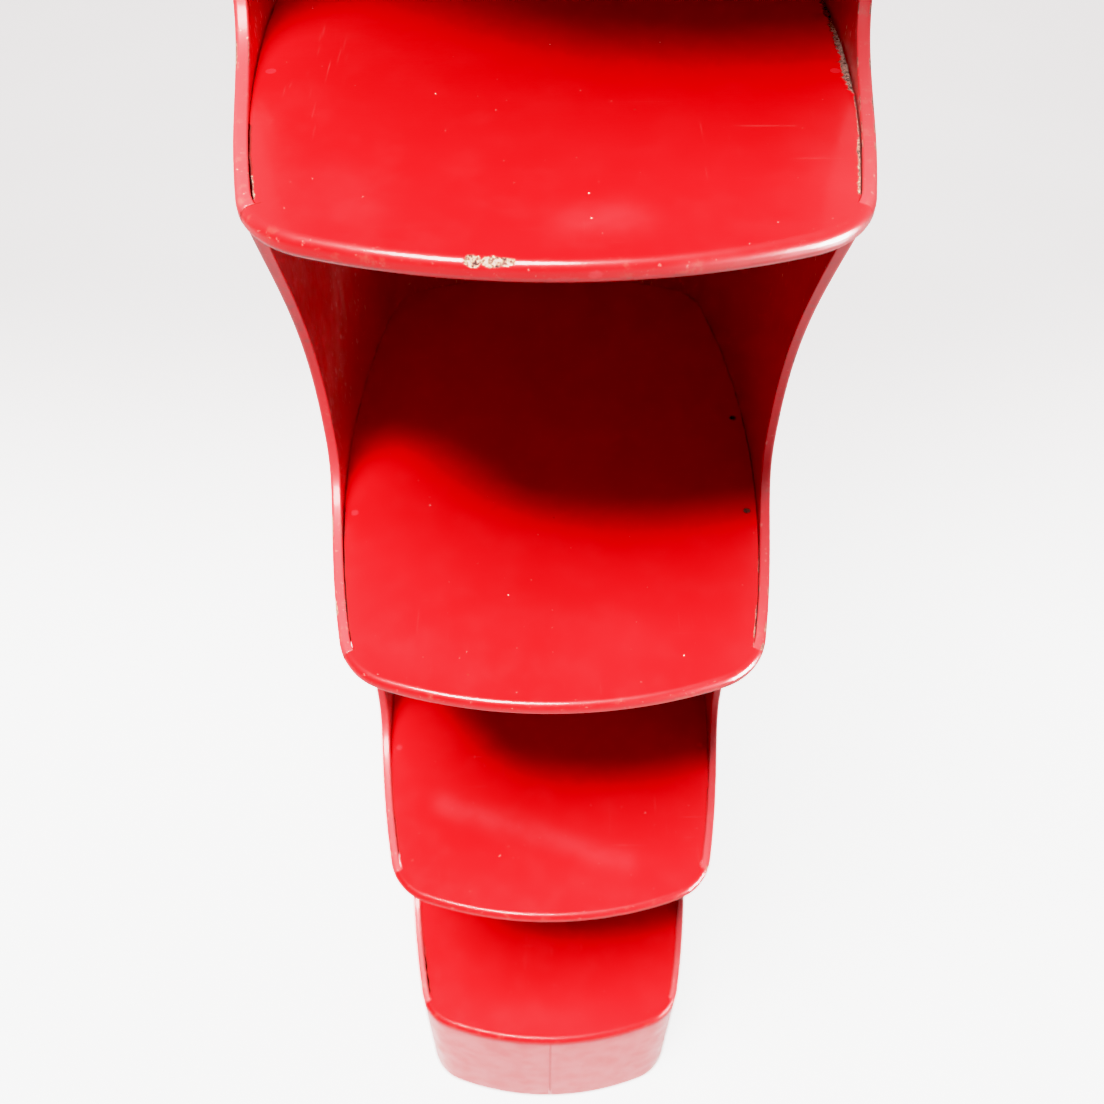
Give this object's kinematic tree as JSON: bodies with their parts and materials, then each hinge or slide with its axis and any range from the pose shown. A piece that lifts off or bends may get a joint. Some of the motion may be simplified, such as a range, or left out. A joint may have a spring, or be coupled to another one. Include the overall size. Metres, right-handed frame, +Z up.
{
  "type": "magazine display tower",
  "caption": "Tall free-standing oval display tower with open scooped bays, bow-fronted shelves with rounded nosings and a closed plinth.",
  "frame": {"origin": "on the floor under the middle of the oval plan", "axes": "+Z up, the open front faces -Y, +X to the right seen from the front"},
  "size_m": [0.3596, 0.524, 1.685],
  "materials": {
    "shell_lacquer": "glossy red lacquer over bent fibreboard, scuffed, with worn edges",
    "shelf_lacquer": "glossy red lacquer over fibreboard, chipped and rubbed along the front nosing",
    "bare_board": "unpainted brown fibreboard",
    "cleat_paint": "dull red paint over softwood strip",
    "nail_steel": "steel nails, heads painted over in red",
    "batten_wood": "bare softwood"
  },
  "bodies": {
    "root": {"shell_left": "shell_lacquer", "shell_right": "shell_lacquer", "shelf_1": "shelf_lacquer", "shelf_2": "shelf_lacquer", "shelf_3": "shelf_lacquer", "shelf_4": "shelf_lacquer", "top_panel": "shelf_lacquer", "base_panel": "bare_board", "cleat_top_left": "cleat_paint", "cleat_top_right": "cleat_paint", "cleat_1_left": "cleat_paint", "cleat_1_right": "cleat_paint", "cleat_2_left": "cleat_paint", "cleat_2_right": "cleat_paint", "cleat_3_left": "cleat_paint", "cleat_3_right": "cleat_paint", "cleat_4_left": "cleat_paint", "cleat_4_right": "cleat_paint", "nails_top": "nail_steel", "nails_shelf_1": "nail_steel", "nails_shelf_2": "nail_steel", "nails_shelf_3": "nail_steel", "nails_shelf_4": "nail_steel", "seam_batten_front": "batten_wood", "seam_batten_back": "batten_wood"}
  },
  "joints": []
}
